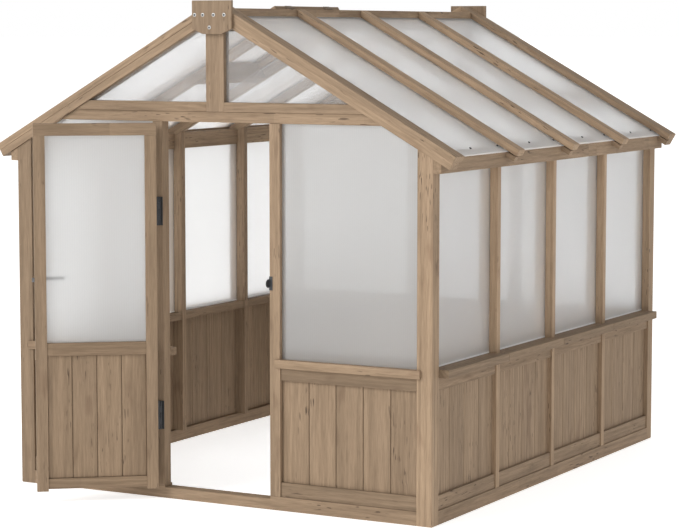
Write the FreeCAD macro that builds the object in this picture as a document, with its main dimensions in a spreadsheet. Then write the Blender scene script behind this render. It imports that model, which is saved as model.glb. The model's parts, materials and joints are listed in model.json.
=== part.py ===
import FreeCAD, Part
import math
import os
import Sketcher

# Timber greenhouse with a hinged front door and a roof vent.
# Frame: X to the right seen from the front, Y to the back, Z up, in millimetres.
# The origin lies on the ground, in the middle of the plan.

V = FreeCAD.Vector
doc = FreeCAD.newDocument("Greenhouse")
sheet = doc.addObject("Spreadsheet::Sheet", "Sheet")

SIZES = {
    # plan, over the corner posts
    "width": 2104,
    "depth": 2500,
    "pitch": 29,
    # corner posts, door posts and wall studs
    "post_width": 73,
    "post_depth": 62,
    "door_post_width": 51,
    "door_post_depth": 51,
    "door_opening": 542,
    "stud_width": 34,
    "stud_depth": 90,
    # base timbers on the ground
    "base_height": 60,
    "side_base_width": 50,
    "threshold_drop": 12,
    # sills, panel rails and boards of the lower wall
    "sill_bottom": 622,
    "sill_height": 36,
    "sill_overhang": 14,
    "sill_horn": 20,
    "sill_inner": 140,
    "sill_inner_horn": 27,
    "side_sill_overhang": 46,
    "side_sill_inner": 84,
    "sill_joint": 1.5,
    "upper_rail_height": 55,
    "lower_rail_height": 63,
    "rail_setback": 6,
    "board_setback": 20,
    "board_thickness": 14,
    "board_gap": 2.5,
    # translucent panes
    "pane_setback": 20,
    "pane_thickness": 6,
    "side_pane_setback": 37,
    # gable: head over the door, its underside measured above the eaves, rail above it, king post
    "head_bottom": 191,
    "head_height": 46,
    "head_setback": 6,
    "gable_rail_height": 41,
    "king_width": 90,
    "king_depth": 46,
    # eaves, ridge and roof layers, measured square to the slope
    "eave_bottom": 1478,
    "eave_face": 68,
    "eave_width": 37,
    "eave_joint": 1555,
    "eave_splice": 96,
    "eave_rail_depth": 50,
    "eave_rail_drop": 8,
    "cap_thickness": 29,
    "cap_width": 66,
    "cap_length": 1326,
    "roof_sheet_thickness": 8,
    "sheet_length": 1276,
    "sheet_gap": 2,
    "rafter_depth": 45,
    "tail_length": 1320,
    "tail_depth": 23,
    "end_rafter_depth": 33,
    "end_rafter_front": 8,
    "rebate_width": 12,
    "barge_length": 1326,
    "barge_front": 10,
    "barge_width": 86,
    "ridge_half": 58,
    "ridge_depth": 100,
    "ridge_joint": 1010,
    # gusset plates at both gable tops and their screws
    "gusset_half": 100,
    "gusset_above": 1,
    "gusset_side": 122,
    "gusset_foot": 46,
    "gusset_drop": 22,
    "gusset_thickness": 14,
    "screw_radius": 7.5,
    "screw_height": 2,
    "screw_line": 62,
    "screw_low": 116,
    "screw_first": 15,
    "screw_second": 56,
    "screw_third": 110,
    "screw_fourth": 163,
    "screw_fifth": 89,
    "roof_screw_radius": 6,
    "roof_screw_height": 4,
    "roof_screw_inset": 24,
    # door leaf
    "door_angle": 142,
    "door_gap": 5,
    "door_thickness": 40,
    "stile_width": 50,
    "stile_foot": 10,
    "door_top_rail": 53,
    "door_mid_rail": 57,
    "door_mid_bottom": 650,
    "door_bottom_rail": 46,
    "door_rail_inset": 3,
    "door_board_inset": 13,
    "door_pane_inset": 17,
    # door hinges
    "pin_out": 9,
    "pin_side": 11.5,
    "pin_radius": 2.5,
    "pin_clearance": 0.06,
    "tab_start": 1,
    "knuckle_radius": 5.5,
    "knuckle_gap": 0.4,
    "hinge_height": 125,
    "hinge_plate": 2.5,
    "hinge_reach": 39,
    "hinge_grip": 22,
    "hinge_low": 372,
    "hinge_high": 1276,
    # lever handle, latch bolt and strike
    "lever_height": 985,
    "rose_height": 60,
    "rose_width": 26,
    "rose_thickness": 4,
    "lever_neck": 8,
    "lever_reach": 34,
    "lever_length": 105,
    "lever_bar": 12,
    "spindle_radius": 4,
    "spindle_depth": 11,
    "lever_clearance": 0.4,
    "bolt_width": 12,
    "bolt_height": 18,
    "bolt_tail_wall": 5,
    "bolt_throw": 11,
    "bolt_clearance": 0.4,
    "mortise_room": 2,
    "strike_plate": 1.5,
    "strike_height": 60,
    "strike_front": 15,
    "strike_inner": 34,
    "lip_reach": 30,
    "lip_height": 37,
    # roof vent in the second bay of the left slope
    "vent_start": 78,
    "vent_length": 560,
    "vent_lap": 8,
    "vent_thickness": 25,
    "vent_member": 42,
    "vent_seat": 0.4,
    "vent_pane_drop": 9,
    "trimmer_width": 44,
    "vent_knuckle": 4.5,
    "vent_pin_radius": 2,
    "vent_pin_rise": 5,
    "vent_pin_out": 4,
    "vent_hinge_width": 60,
    "vent_hinge_offset": 180,
    "vent_leaf": 2,
    "vent_leaf_reach": 24,
}


class Size:
    """A length or ratio as sheet expression text, with its present value."""

    def __init__(self, text, value):
        self.text = text
        self.value = value

    def join(self, other, sign):
        other = as_size(other)
        value = {
            "+": lambda a, b: a + b,
            "-": lambda a, b: a - b,
            "*": lambda a, b: a * b,
            "/": lambda a, b: a / b,
        }[sign](self.value, other.value)
        return Size("(%s %s %s)" % (self.text, sign, other.text), value)

    def __add__(self, other):
        return self.join(other, "+")

    def __radd__(self, other):
        return as_size(other).join(self, "+")

    def __sub__(self, other):
        return self.join(other, "-")

    def __rsub__(self, other):
        return as_size(other).join(self, "-")

    def __mul__(self, other):
        return self.join(other, "*")

    def __rmul__(self, other):
        return as_size(other).join(self, "*")

    def __truediv__(self, other):
        return self.join(other, "/")

    def __neg__(self):
        return Size("(0 - %s)" % self.text, -self.value)


def as_size(item):
    if isinstance(item, Size):
        return item
    return Size(repr(item), float(item))


for row, (alias, number) in enumerate(SIZES.items(), 1):
    sheet.set("A%d" % row, alias)
    sheet.set("B%d" % row, str(number))
    sheet.setAlias("B%d" % row, alias)
doc.recompute()


def cell(alias):
    return Size("Sheet." + alias, float(sheet.get(alias)))


S = {alias: cell(alias) for alias in SIZES}


def turned(function, angle):
    value = getattr(math, function)(math.radians(angle.value))
    return Size("%s(%s * 1deg)" % (function, angle.text), value)


def bind(thing, path, item):
    thing.setExpression(path, as_size(item).text)


def box(name, xs, ys, zs):
    """A squared timber or plate between two corners."""
    piece = doc.addObject("Part::Box", name)
    for path, axis, pair in (("Length", "x", xs), ("Width", "y", ys), ("Height", "z", zs)):
        bind(piece, path, as_size(pair[1]) - pair[0])
        bind(piece, "Placement.Base." + axis, pair[0])
    return piece


def rod(name, axis, centre, radius, ends):
    """A round bar along x, y or z between two ends."""
    piece = doc.addObject("Part::Cylinder", name)
    bind(piece, "Radius", radius)
    bind(piece, "Height", as_size(ends[1]) - ends[0])
    turn = {"x": (V(0, 1, 0), 90), "y": (V(1, 0, 0), -90), "z": (V(0, 0, 1), 0)}[axis]
    piece.Placement = FreeCAD.Placement(V(), FreeCAD.Rotation(*turn))
    others = [letter for letter in "xyz" if letter != axis]
    for letter, item in zip(others, centre):
        bind(piece, "Placement.Base." + letter, item)
    bind(piece, "Placement.Base." + axis, ends[0])
    return piece


PLANES = {"XZ": "XZ_Plane", "YZ": "YZ_Plane", "XY": "XY_Plane"}


def prism(name, parts):
    """A shaped timber: one padded outline per part, all in one body."""
    body = doc.addObject("PartDesign::Body", name)
    for count, (plane, points, low, high) in enumerate(parts):
        points = [(as_size(a), as_size(b)) for a, b in points]
        low, high = as_size(low), as_size(high)
        sketch = body.newObject("Sketcher::SketchObject", "%s_outline_%d" % (name, count))
        for feature in body.Origin.OriginFeatures:
            if feature.Role == PLANES[plane]:
                sketch.AttachmentSupport = [(feature, "")]
        sketch.MapMode = "FlatFace"
        total = len(points)
        for index in range(total):
            start = points[index]
            end = points[(index + 1) % total]
            line = Part.LineSegment(
                V(start[0].value, start[1].value, 0), V(end[0].value, end[1].value, 0))
            sketch.addGeometry(line, False)
        for index in range(total):
            sketch.addConstraint(Sketcher.Constraint("Coincident", index, 2, (index + 1) % total, 1))
        for index, point in enumerate(points):
            for kind, item in (("DistanceX", point[0]), ("DistanceY", point[1])):
                number = sketch.addConstraint(Sketcher.Constraint(kind, -1, 1, index, 1, item.value))
                sketch.setExpression("Constraints[%d]" % number, item.text)
        # the pad of an XZ outline runs towards -Y, so that outline lies at the far end
        bind(sketch, "AttachmentOffset.Base.z", -high if plane == "XZ" else low)
        pad = body.newObject("PartDesign::Pad", "%s_pad_%d" % (name, count))
        pad.Profile = sketch
        bind(pad, "Length", high - low)
    return body


nodes = {}


def node(name, pieces, hung=None):
    """One named sub-part: a single piece, or a group of alike pieces."""
    if len(pieces) == 1 and hung is None:
        group = pieces[0]
    else:
        group = doc.addObject("Part::Compound", name + "_group")
        group.Links = pieces
    if hung is not None:
        hung(group)
    group.Label = name
    nodes[name] = group
    return group


def fuse(name, pieces):
    joined = doc.addObject("Part::MultiFuse", name)
    joined.Shapes = pieces
    return joined


def cut(name, base, tool):
    left = doc.addObject("Part::Cut", name)
    left.Base = base
    left.Tool = tool
    return left


# Derived lines of the frame
hx = S["width"] / 2
hy = S["depth"] / 2
cosine = turned("cos", S["pitch"])
sine = turned("sin", S["pitch"])
slope = turned("tan", S["pitch"])
post_in = hx - S["post_width"]
door_half = S["door_opening"] / 2
door_out = door_half + S["door_post_width"]
sheet_top = S["cap_thickness"]
sheet_low = sheet_top + S["roof_sheet_thickness"]
rafter_low = sheet_low + S["rafter_depth"]
tail_low = sheet_low + S["tail_depth"]
stud_half = S["stud_width"] / 2
end_low = S["cap_thickness"] + S["end_rafter_depth"]
# the roof sheets lie on the outer top edge of the eave beams, which sets the apex
eave_out = hx + S["eave_width"]
apex = S["eave_bottom"] + S["eave_face"] + sheet_low / cosine + slope * eave_out
ridge_top = apex - slope * S["ridge_half"]
sill_top = S["sill_bottom"] + S["sill_height"]
rail_low_top = S["base_height"] + S["lower_rail_height"]
rail_high_low = S["sill_bottom"] - S["upper_rail_height"]
head_low = S["eave_bottom"] + S["head_bottom"]
head_top = head_low + S["head_height"]
gable_rail_top = head_top + S["gable_rail_height"]


def level(down, x):
    """Height of the roof plane lying so far below the cap tops, at this X."""
    return apex - as_size(down) / cosine - slope * x


def reach(down, z):
    """X where that roof plane passes this height."""
    return (apex - as_size(down) / cosine - z) / slope


def on_slope(along, down):
    """Point so far down the slope from the apex and so far below the cap tops."""
    along, down = as_size(along), as_size(down)
    return along * cosine - down * sine, apex - along * sine - down * cosine


def mirrored(points, side):
    return [(as_size(x) * side, z) for x, z in points]


def strip(side, start, end, top, low, square=True):
    """Outline of one roof layer, plumb at the ridge end, square or plumb at the eave end."""
    if square:
        tail = [on_slope(end, top), on_slope(end, low)]
    else:
        tail = [(end, level(top, end)), (end, level(low, end))]
    return mirrored([(start, level(top, start))] + tail + [(start, level(low, start))], side)


def front_back(end, low, high):
    """A Y range measured from the front face, or mirrored to the back."""
    near, far = as_size(low) - hy, as_size(high) - hy
    if end > 0:
        return -far, -near
    return near, far


def side_range(side, low, high):
    if side > 0:
        return low, high
    return -as_size(high), -as_size(low)


ENDS = (("front", -1), ("back", 1))
SIDES = (("left", -1), ("right", 1))
BAYS = 4
# cuts run this far past the faces they open
OVERRUN = 1

# Clear side bays between the corner posts and three studs
clear = (S["depth"] - 2 * S["post_depth"] - (BAYS - 1) * S["stud_width"]) / BAYS
bay_low = [S["post_depth"] - hy + (clear + S["stud_width"]) * n for n in range(BAYS)]
bay_high = [low + clear for low in bay_low]
stations = [high + stud_half for high in bay_high[:-1]]

# Base timbers; the front one is lowered under the door as its threshold
sill_line = S["base_height"] - S["threshold_drop"]
front_base = [
    (-post_in, 0), (post_in, 0), (post_in, S["base_height"]), (door_half, S["base_height"]),
    (door_half, sill_line), (-door_half, sill_line), (-door_half, S["base_height"]),
    (-post_in, S["base_height"]),
]
low, high = front_back(-1, 0, S["post_depth"])
node("base_front", [prism("base_front", [("XZ", front_base, low, high)])])
node("base_back", [box("base_back", (-post_in, post_in), front_back(1, 0, S["post_depth"]),
                       (0, S["base_height"]))])
ys = (S["post_depth"] - hy, hy - S["post_depth"])
node("base_sides", [
    box("base_" + word, side_range(side, hx - S["side_base_width"], hx), ys, (0, S["base_height"]))
    for word, side in SIDES])

# Corner posts, cut to the slope under the end rafters
for hand, side in SIDES:
    outline = [(post_in, 0), (hx, 0), (hx, level(end_low, hx)), (post_in, level(end_low, post_in))]
    node("posts_" + hand, [
        prism("post_%s_%s" % (word, hand), [
            ("XZ", mirrored(outline, side), *front_back(end, 0, S["post_depth"]))])
        for word, end in ENDS])

# Door posts, the right one mortised for the latch bolt
post_y = front_back(-1, 0, S["door_post_depth"])
post_z = (S["base_height"], head_low)
node("door_post_left", [box("door_post_left", (-door_out, -door_half), post_y, post_z)])
bolt_mid = S["door_thickness"] / 2 - hy
mortise_half = S["bolt_width"] / 2 + S["bolt_clearance"] + S["mortise_room"]
mortise_rise = S["bolt_height"] / 2 + S["bolt_clearance"] + S["mortise_room"]
mortise_y = (bolt_mid - mortise_half, bolt_mid + mortise_half)
mortise_z = (S["lever_height"] - mortise_rise, S["lever_height"] + mortise_rise)
node("door_post_right", [cut(
    "door_post_right",
    box("door_post_right_timber", (door_half, door_out), post_y, post_z),
    box("bolt_mortise", (door_half - OVERRUN, door_half + S["bolt_throw"]), mortise_y, mortise_z))])

# Studs of the side walls and of the back wall
for word, side in SIDES:
    outline = [
        (hx - S["stud_depth"], S["base_height"]), (hx, S["base_height"]),
        (hx, level(rafter_low, hx)),
        (hx - S["stud_depth"], level(rafter_low, hx - S["stud_depth"])),
    ]
    studs = []
    for count, mid in enumerate(stations):
        low, high = mid - S["stud_width"] / 2, mid + S["stud_width"] / 2
        studs.append(prism("stud_%s_%d" % (word, count), [("XZ", mirrored(outline, side), low, high)]))
    node("studs_" + word, studs)
back_y = front_back(1, 0, S["door_post_depth"])
node("studs_back", [
    box("stud_back_%s" % word, side_range(side, door_half, door_out), back_y, post_z)
    for word, side in SIDES])

# Head over the doorway and its twin at the back, and the gable rails on top of them
head_ends = [reach(end_low, z) for z in (head_low, head_top, gable_rail_top)]
head_outline = [(-head_ends[0], head_low), (head_ends[0], head_low),
                (head_ends[1], head_top), (-head_ends[1], head_top)]
node("heads", [
    prism("head_" + word, [
        ("XZ", head_outline, *front_back(end, S["head_setback"], S["door_post_depth"]))])
    for word, end in ENDS])
king_half = S["king_width"] / 2
gable_rails = []
for word, end in ENDS:
    low, high = front_back(end, 0, S["king_depth"])
    for hand, side in SIDES:
        outline = [(king_half, head_top), (head_ends[1], head_top),
                   (head_ends[2], gable_rail_top), (king_half, gable_rail_top)]
        name = "gable_rail_%s_%s" % (word, hand)
        gable_rails.append(prism(name, [("XZ", mirrored(outline, side), low, high)]))
node("gable_rails", gable_rails)
kings = []
for word, end in ENDS:
    outline = [(-king_half, head_top), (king_half, head_top), (king_half, level(end_low, king_half)),
               (0, level(end_low, 0)), (-king_half, level(end_low, king_half))]
    low, high = front_back(end, 0, S["king_depth"])
    kings.append(prism("king_" + word, [("XZ", outline, low, high)]))
node("king_posts", kings)

# Eave beams outside the posts, each in two lengths with a splice between them:
# lower under the end rafters, full height between them, with pockets for the rafter tails
for word, side in SIDES:
    lower = [(hx, S["eave_bottom"]), (eave_out, S["eave_bottom"]),
             (eave_out, level(end_low, eave_out)), (hx, level(end_low, hx))]
    upper = [(hx, level(end_low, hx)), (eave_out, level(end_low, eave_out)),
             (eave_out, level(sheet_low, eave_out)), (hx, level(sheet_low, hx))]
    whole = lower[:2] + upper[2:]
    inner = (S["post_depth"] - hy, hy - S["post_depth"])
    joints = (S["eave_joint"] - hy, S["eave_joint"] + S["eave_splice"] - hy)
    front = prism("eave_front_timber_" + word, [
        ("XZ", mirrored(lower, side), -hy, joints[0]),
        ("XZ", mirrored(upper, side), inner[0], joints[0])])
    rear = prism("eave_rear_timber_" + word, [
        ("XZ", mirrored(lower, side), joints[1], hy),
        ("XZ", mirrored(upper, side), joints[1], inner[1])])
    room = strip(side, hx - OVERRUN, eave_out + OVERRUN, sheet_low - OVERRUN, tail_low, square=False)
    pockets = fuse("tail_pockets_" + word, [
        prism("tail_pocket_%s_%d" % (word, n), [("XZ", room, mid - stud_half, mid + stud_half)])
        for n, mid in enumerate(stations)])
    node("eave_beam_" + word, [
        cut("eave_beam_front_" + word, front, pockets),
        prism("eave_splice_" + word, [("XZ", mirrored(whole, side), *joints)]),
        cut("eave_beam_rear_" + word, rear, pockets)])

# Eave rails between the studs close each side wall under the roof sheets
eave_rails = {}
for word, side in SIDES:
    xs = side_range(side, hx - S["eave_rail_depth"], hx)
    stud_top = level(rafter_low, hx - S["stud_depth"])
    zs = (S["eave_bottom"], stud_top - S["eave_rail_drop"])
    eave_rails[word] = [
        box("eave_rail_%s_%d" % (word, n), xs, (bay_low[n], bay_high[n]), zs) for n in range(BAYS)]

# Ridge beam in two lengths, butted together above the second bay
ridge_start = S["barge_width"] - S["barge_front"] - hy
ridge_break = S["ridge_joint"] - hy
ridge_x = (-S["ridge_half"], S["ridge_half"])
ridge_z = (ridge_top - S["ridge_depth"], ridge_top)
node("ridge_beams", [
    box("ridge_beam_front", ridge_x, (ridge_start, ridge_break), ridge_z),
    box("ridge_beam_rear", ridge_x, (ridge_break, -ridge_start), ridge_z)])

# End rafters, rebated behind for the roof sheets, and the barge caps on them
end_rafters = []
barge_caps = []
rebate = S["post_depth"] - S["rebate_width"]
for word, end in ENDS:
    for hand, side in SIDES:
        full = strip(side, 0, S["barge_length"], S["cap_thickness"], end_low)
        thin = strip(side, 0, S["barge_length"], sheet_low, end_low)
        tag = "%s_%s" % (word, hand)
        end_rafters.append(prism("end_rafter_" + tag, [
            ("XZ", full, *front_back(end, -S["end_rafter_front"], rebate)),
            ("XZ", thin, *front_back(end, rebate, S["post_depth"]))]))
        cap = strip(side, 0, S["barge_length"], 0, S["cap_thickness"])
        across = front_back(end, -S["barge_front"], S["barge_width"] - S["barge_front"])
        barge_caps.append(prism("barge_cap_" + tag, [("XZ", cap, *across)]))
node("end_rafters", end_rafters)
node("barge_caps", barge_caps)

# Rafters over the studs, with thinner tails through the eave beams, then sheets, and caps over their joints
vent_end = S["vent_start"] + S["vent_length"]
trimmer_end = vent_end - S["vent_lap"]
trimmer_start = trimmer_end - S["trimmer_width"]
for word, side in SIDES:
    rafter = strip(side, S["ridge_half"], hx, sheet_low, rafter_low, square=False)
    cap = strip(side, S["ridge_half"], S["cap_length"], 0, S["cap_thickness"])
    tail = strip(side, hx, S["tail_length"], sheet_low, tail_low)
    cover = S["cap_width"] / 2
    node("rafters_" + word, [
        prism("rafter_%s_%d" % (word, n), [
            ("XZ", rafter, mid - stud_half, mid + stud_half),
            ("XZ", tail, mid - stud_half, mid + stud_half)])
        for n, mid in enumerate(stations)])
    node("caps_" + word, [
        prism("cap_%s_%d" % (word, n), [("XZ", cap, mid - cover, mid + cover)])
        for n, mid in enumerate(stations)])
    edges = [rebate - hy] + stations + [hy - rebate]
    joint = S["sheet_gap"] / 2
    sheets = []
    for n in range(BAYS):
        outline = strip(side, S["ridge_half"], S["sheet_length"], sheet_top, sheet_low)
        if side < 0 and n == 1:
            # below the vent the sheet starts at the trimmer
            corners = [on_slope(trimmer_end, sheet_top), on_slope(S["sheet_length"], sheet_top),
                       on_slope(S["sheet_length"], sheet_low), on_slope(trimmer_end, sheet_low)]
            outline = mirrored(corners, side)
        near = edges[n] + (joint if n else 0)
        far = edges[n + 1] - (joint if n < BAYS - 1 else 0)
        sheets.append(prism("roof_sheet_%s_%d" % (word, n), [("XZ", outline, near, far)]))
    node("roof_sheets_" + word, sheets)

# Trimmer across the vent bay: between the rafters below, between the caps above
vent_clear = (stations[0] + S["cap_width"] / 2, stations[1] - S["cap_width"] / 2)
low_corners = [on_slope(trimmer_start, sheet_low), on_slope(trimmer_end, sheet_low),
               on_slope(trimmer_end, rafter_low), on_slope(trimmer_start, rafter_low)]
high_corners = [on_slope(trimmer_start, 0), on_slope(trimmer_end, 0),
                on_slope(trimmer_end, sheet_low), on_slope(trimmer_start, sheet_low)]
node("vent_trimmer", [prism("vent_trimmer", [
    ("XZ", mirrored(low_corners, -1), bay_low[1], bay_high[1]),
    ("XZ", mirrored(high_corners, -1), *vent_clear)])])

# Gusset plates over the barge joint, with five screws each
gussets = []
screws = []
gusset_top = apex + S["gusset_above"]
gusset_foot = gusset_top - S["gusset_side"] - S["gusset_drop"]
for word, end in ENDS:
    outline = [
        (-S["gusset_half"], gusset_top), (-S["gusset_half"], gusset_top - S["gusset_side"]),
        (-S["gusset_foot"], gusset_foot), (S["gusset_foot"], gusset_foot),
        (S["gusset_half"], gusset_top - S["gusset_side"]), (S["gusset_half"], gusset_top),
    ]
    outside = -S["barge_front"] - S["gusset_thickness"]
    gussets.append(prism("gusset_" + word, [("XZ", outline, *front_back(end, outside, -S["barge_front"]))]))
    ys = front_back(end, outside - S["screw_height"], outside)
    row = [S[word] for word in ("screw_first", "screw_second", "screw_third", "screw_fourth")]
    places = [(inset - S["gusset_half"], gusset_top - S["screw_line"]) for inset in row]
    places.append((S["screw_fifth"] - S["gusset_half"], gusset_top - S["screw_low"]))
    for count, (x, z) in enumerate(places):
        screws.append(rod("gusset_screw_%s_%d" % (word, count), "y", (x, z), S["screw_radius"], ys))
node("gussets", gussets)
node("gusset_screws", screws)

# Lower walls: full height boards, rails on their outer face, sills with horns over the posts
rail_y = (S["rail_setback"], S["board_setback"])
board_y = (S["board_setback"], S["board_setback"] + S["board_thickness"])
pane_y = (S["pane_setback"], S["pane_setback"] + S["pane_thickness"])
upper_rail = (rail_high_low, S["sill_bottom"])
lower_rail = (S["base_height"], rail_low_top)
board_z = (S["base_height"], S["sill_bottom"])


def board_run(name, across, count, make):
    """Boards of equal width with a narrow gap between neighbours."""
    start, stop = as_size(across[0]), as_size(across[1])
    pitch = (stop - start) / count
    gap = S["board_gap"] / 2
    pieces = []
    for n in range(count):
        pieces.append(make("%s_%d" % (name, n), (start + pitch * n + gap, start + pitch * (n + 1) - gap)))
    return pieces


def horned_sill(name, side, end):
    """Sill whose nose runs on over the faces of the posts, with a ledge inside behind the door post."""
    nose = -S["sill_overhang"] - hy
    face, inner = as_size(0) - hy, S["sill_inner"] - hy
    door_back, post_back = S["door_post_depth"] - hy, S["post_depth"] - hy
    ledge_end = hx - S["side_sill_inner"] - S["sill_joint"]
    horn, inner_horn = door_out - S["sill_horn"], door_out - S["sill_inner_horn"]
    points = [(horn, nose), (post_in + S["sill_horn"], nose), (post_in + S["sill_horn"], face),
              (post_in, face), (post_in, post_back), (ledge_end, post_back), (ledge_end, inner),
              (inner_horn, inner), (inner_horn, door_back), (door_out, door_back),
              (door_out, face), (horn, face)]
    points = [(x * side, y * -end) for x, y in points]
    return prism(name, [("XY", points, S["sill_bottom"], sill_top)])


def side_sill(name, side, ys, last):
    """Sill of one side bay; its nose runs on over the stud behind it."""
    inside, nose = hx - S["side_sill_inner"], hx + S["side_sill_overhang"]
    zs = (S["sill_bottom"], sill_top)
    if last:
        return box(name, side_range(side, inside, nose), ys, zs)
    tip = ys[1] + S["stud_width"] - S["sill_joint"]
    points = [(inside, ys[0]), (nose, ys[0]), (nose, tip), (hx, tip), (hx, ys[1]), (inside, ys[1])]
    return prism(name, [("XY", [(x * side, y) for x, y in points], *zs)])


def wall_panel(tag, side, end, count, group):
    """Sill, rails and boards of one bay of the front or back wall."""
    sills, rails, boards = group
    xs = side_range(side, door_out, post_in)
    sills.append(horned_sill("sill_" + tag, side, end))
    rails.append(box("upper_rail_" + tag, xs, front_back(end, *rail_y), upper_rail))
    rails.append(box("lower_rail_" + tag, xs, front_back(end, *rail_y), lower_rail))
    boards.extend(board_run("board_" + tag, xs, count, lambda name, span: box(
        name, span, front_back(end, *board_y), board_z)))


pane_outline = [
    (door_out, sill_top), (post_in, sill_top), (post_in, level(end_low, post_in)),
    (head_ends[0], head_low), (door_out, head_low),
]
for word, end in ENDS:
    sills, rails, boards, panes = [], [], [], []
    for hand, side in SIDES:
        tag = "%s_%s" % (word, hand)
        wall_panel(tag, side, end, 5, (sills, rails, boards))
        panes.append(prism("pane_" + tag, [
            ("XZ", mirrored(pane_outline, side), *front_back(end, *pane_y))]))
    if word == "back":
        xs = (-door_half, door_half)
        sills.append(box("sill_back_middle", xs, front_back(end, 0, S["sill_inner"]),
                         (S["sill_bottom"], sill_top)))
        rails.append(box("upper_rail_back_middle", xs, front_back(end, *rail_y), upper_rail))
        rails.append(box("lower_rail_back_middle", xs, front_back(end, *rail_y), lower_rail))
        boards.extend(board_run("board_back_middle", xs, 4, lambda name, span: box(
            name, span, front_back(1, *board_y), board_z)))
        panes.append(box("pane_back_middle", xs, front_back(end, *pane_y), (sill_top, head_low)))
    node("sills_" + word, sills)
    node("rails_" + word, rails)
    node("boards_" + word, boards)
    node("panes_" + word, panes)

for word, side in SIDES:
    sills, rails, boards, panes = [], eave_rails[word], [], []
    for n in range(BAYS):
        tag = "%s_%d" % (word, n)
        ys = (bay_low[n], bay_high[n])
        inside = hx - S["side_pane_setback"] - S["pane_thickness"]
        sills.append(side_sill("sill_" + tag, side, ys, n == BAYS - 1))
        xs = side_range(side, hx - S["board_setback"], hx - S["rail_setback"])
        rails.append(box("upper_rail_" + tag, xs, ys, upper_rail))
        rails.append(box("lower_rail_" + tag, xs, ys, lower_rail))
        xs = side_range(side, hx - S["board_setback"] - S["board_thickness"], hx - S["board_setback"])
        boards.extend(board_run("board_" + tag, ys, 4, lambda name, span: box(
            name, xs, span, board_z)))
        xs = side_range(side, inside, hx - S["side_pane_setback"])
        panes.append(box("pane_" + tag, xs, ys, (sill_top, S["eave_bottom"])))
    node("sills_" + word, sills)
    node("rails_" + word, rails)
    node("boards_" + word, boards)
    node("panes_" + word, panes)

# Gable panes, beside the king posts
gable_panes = []
gable = [(king_half, gable_rail_top), (head_ends[2], gable_rail_top), (king_half, level(end_low, king_half))]
for word, end in ENDS:
    for hand, side in SIDES:
        gable_panes.append(prism("gable_pane_%s_%s" % (word, hand), [
            ("XZ", mirrored(gable, side), *front_back(end, *pane_y))]))
node("gable_panes", gable_panes)

# Door, drawn shut around its hinge pin and hung at its opening angle
pin_x = -door_half - S["pin_side"]
pin_y = -hy - S["pin_out"]


def hang_door(group):
    group.Placement = FreeCAD.Placement(V(), FreeCAD.Rotation(V(0, 0, 1), -10))
    bind(group, "Placement.Base.x", pin_x)
    bind(group, "Placement.Base.y", pin_y)
    group.setExpression("Placement.Rotation.Angle", "-Sheet.door_angle * 1deg")


face = S["pin_out"]
leaf_start = S["pin_side"] + S["door_gap"]
leaf_end = leaf_start + S["door_opening"] - S["door_gap"] * 2
leaf_low = S["base_height"] - S["threshold_drop"] + S["door_gap"]
leaf_high = head_low - S["door_gap"]
leaf_v = (face, face + S["door_thickness"])
inner_u = (leaf_start + S["stile_width"], leaf_end - S["stile_width"])
rail_v = (face + S["door_rail_inset"], face + S["door_thickness"] - S["door_rail_inset"])
bottom_z = (leaf_low + S["stile_foot"], leaf_low + S["stile_foot"] + S["door_bottom_rail"])
mid_z = (S["door_mid_bottom"], S["door_mid_bottom"] + S["door_mid_rail"])
top_z = (leaf_high - S["door_top_rail"], leaf_high)
# the top rail lies over both stiles
stile_z = (leaf_low, top_z[0])
node("door_stile_hinge", [box("hinge_stile", (leaf_start, inner_u[0]), leaf_v, stile_z)], hang_door)
node("door_rails", [
    box("door_bottom_rail_bar", inner_u, rail_v, bottom_z),
    box("door_mid_rail_bar", inner_u, rail_v, mid_z),
    box("door_top_rail_bar", (leaf_start, leaf_end), leaf_v, top_z)], hang_door)
door_board_v = (face + S["door_board_inset"], face + S["door_board_inset"] + S["board_thickness"])
node("door_boards", board_run("door_board", inner_u, 4, lambda name, span: box(
    name, span, door_board_v, (bottom_z[1], mid_z[0]))), hang_door)
door_pane_v = (face + S["door_pane_inset"], face + S["door_pane_inset"] + S["pane_thickness"])
node("door_pane", [box("door_pane_sheet", inner_u, door_pane_v, (mid_z[1], top_z[0]))], hang_door)

# Latch stile with the bolt's mortise and the spindle's bore
lever_u = leaf_end - S["stile_width"] / 2
bolt_v = face + S["door_thickness"] / 2
# the drawn-back bolt ends short of the wall left between its room and the pane
room_start = inner_u[1] + S["bolt_tail_wall"]
bolt_start = room_start + S["mortise_room"] + S["bolt_throw"]
room = S["bolt_clearance"]
bolt_room = box(
    "bolt_room", (room_start, leaf_end + OVERRUN),
    (bolt_v - S["bolt_width"] / 2 - room, bolt_v + S["bolt_width"] / 2 + room),
    (S["lever_height"] - S["bolt_height"] / 2 - room, S["lever_height"] + S["bolt_height"] / 2 + room))
spindle_room = rod(
    "spindle_room", "y", (lever_u, S["lever_height"]), S["spindle_radius"] + S["pin_clearance"],
    (face - OVERRUN, face + S["spindle_depth"] + S["lever_clearance"]))
latch_stile = box("latch_stile_timber", (inner_u[1], leaf_end), leaf_v, stile_z)
latch_rooms = fuse("latch_rooms", [bolt_room, spindle_room])
node("door_stile_latch", [cut("latch_stile", latch_stile, latch_rooms)], hang_door)
node("latch_bolt", [box(
    "latch_bolt_bar", (bolt_start, leaf_end + S["bolt_throw"]),
    (bolt_v - S["bolt_width"] / 2, bolt_v + S["bolt_width"] / 2),
    (S["lever_height"] - S["bolt_height"] / 2, S["lever_height"] + S["bolt_height"] / 2))], hang_door)

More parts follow.
